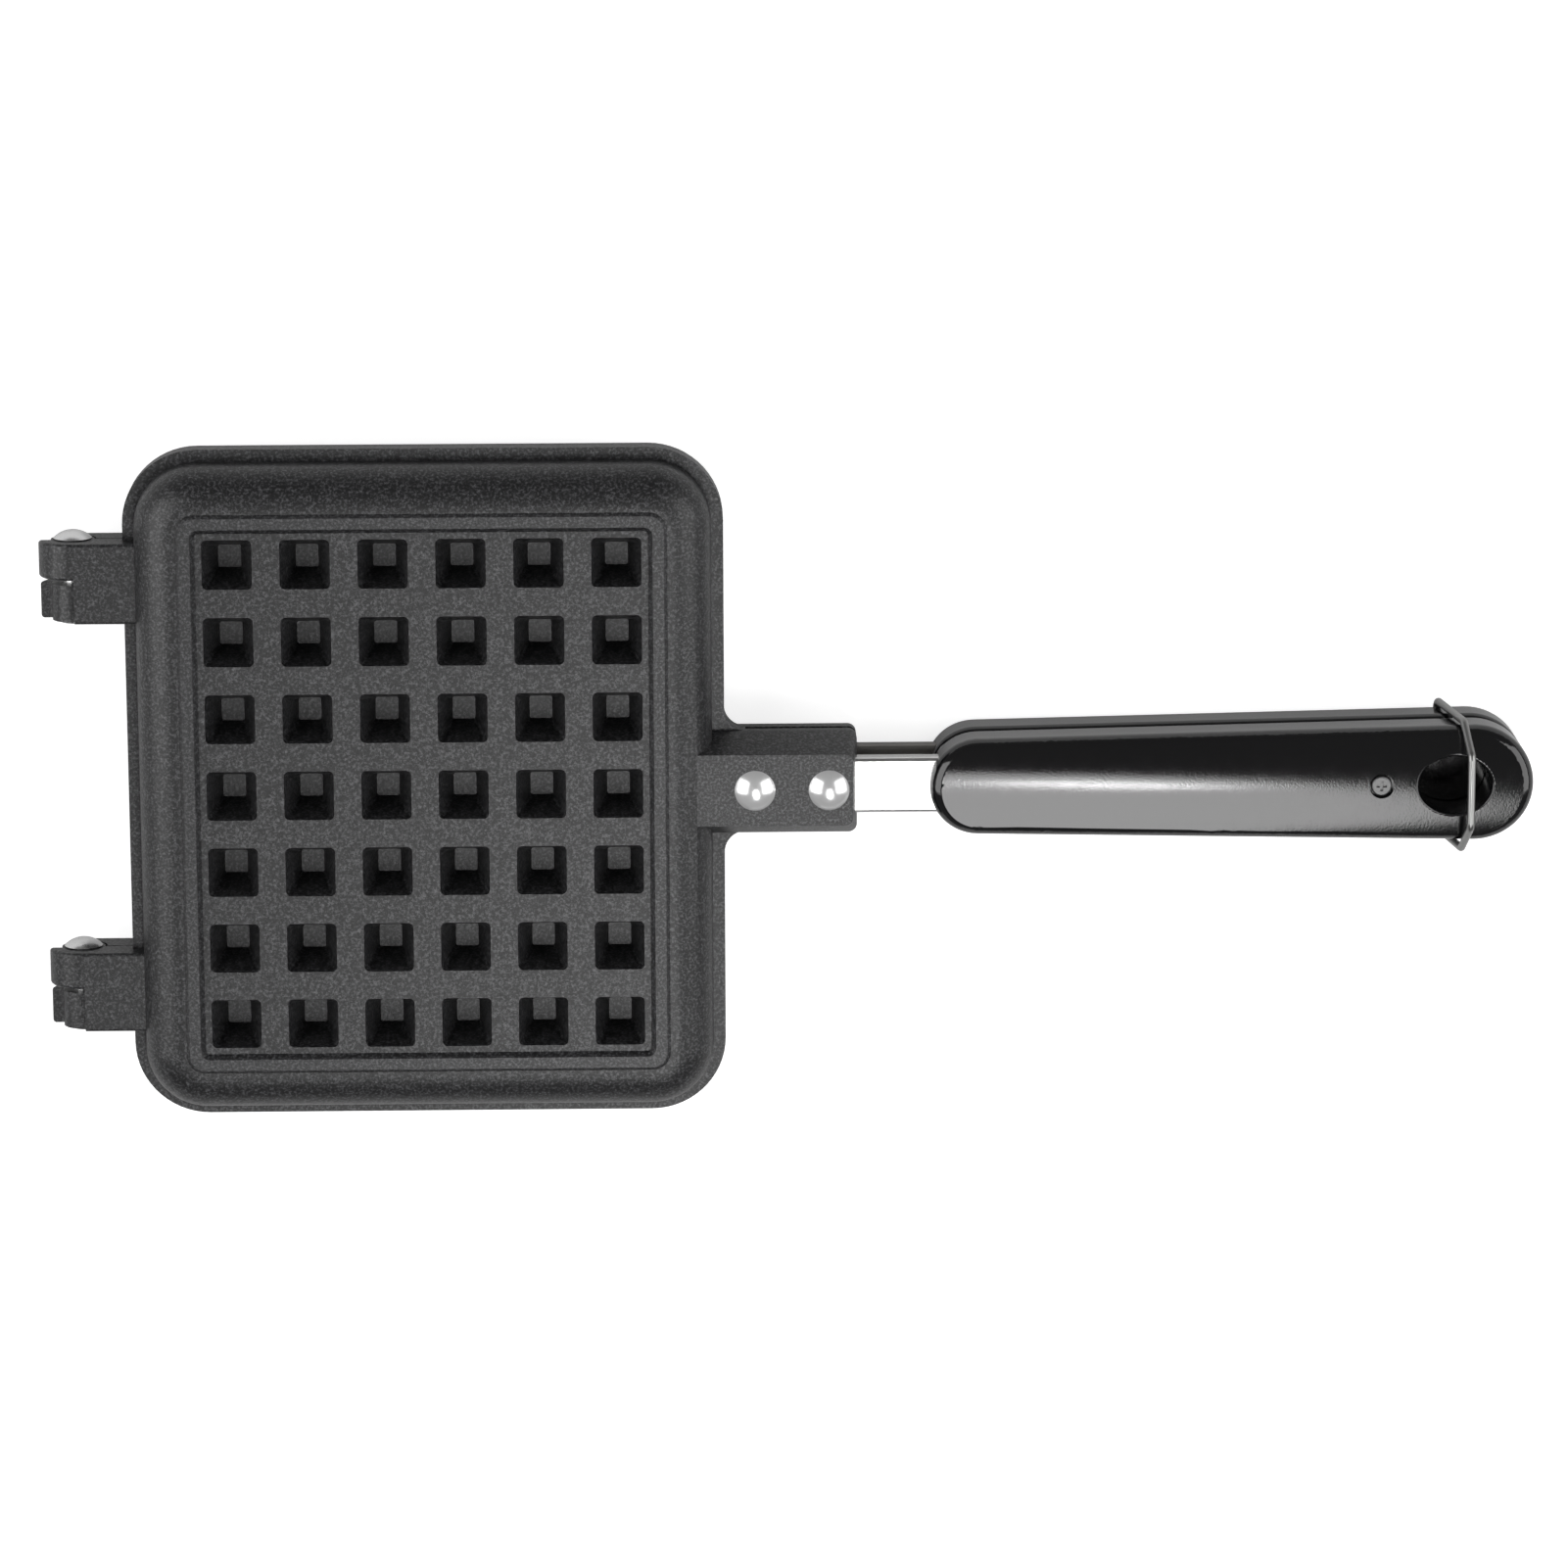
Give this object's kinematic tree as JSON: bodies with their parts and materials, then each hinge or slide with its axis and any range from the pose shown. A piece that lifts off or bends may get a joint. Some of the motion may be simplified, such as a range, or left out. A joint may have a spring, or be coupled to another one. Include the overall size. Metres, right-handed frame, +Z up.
{
  "type": "stovetop waffle pan",
  "caption": "Hinged two-sided waffle pan for a stove, cast grid plates on steel tangs with moulded handles, held shut by a wire bail.",
  "frame": {"origin": "middle of the closed pan's outline, on the surface that it lies on", "axes": "+X towards the handles, +Z up through the top plate, +Y to complete a right-handed set"},
  "size_m": [0.3489, 0.1592, 0.0392],
  "materials": {
    "coated_casting": "cast, with a matt speckled non-stick coating",
    "steel_bar": "bright flat bar",
    "handle_moulding": "glossy moulded phenolic",
    "rivet_metal": "polished by the rivet set",
    "screw_steel": "darkened steel",
    "bail_wire": "bright drawn wire"
  },
  "bodies": {
    "bottom_half": {"bottom_plate": "coated_casting", "bottom_tang": "steel_bar", "bottom_handle": "handle_moulding", "bottom_inner_rivet": "rivet_metal", "bottom_outer_rivet": "rivet_metal", "bottom_handle_screw": "screw_steel", "north_hinge_pin": "rivet_metal", "south_hinge_pin": "rivet_metal"},
    "top_half": {"top_plate": "coated_casting", "top_tang": "steel_bar", "top_handle": "handle_moulding", "top_inner_rivet": "rivet_metal", "top_outer_rivet": "rivet_metal", "top_handle_screw": "screw_steel"},
    "latch": {"latch_bail": "bail_wire"}
  },
  "joints": [
    {"name": "lid_hinge", "type": "hinge", "parent": "bottom_half", "child": "top_half", "pos_m": [-0.16655, 0, 0.017], "axis": [0, -1, 0], "range_deg": [0, 100]},
    {"name": "bail_pivot", "type": "hinge", "parent": "bottom_half", "child": "latch", "pos_m": [0.15435, 0, 0.006], "axis": [0, 1, 0], "range_deg": [-22, 90]}
  ]
}
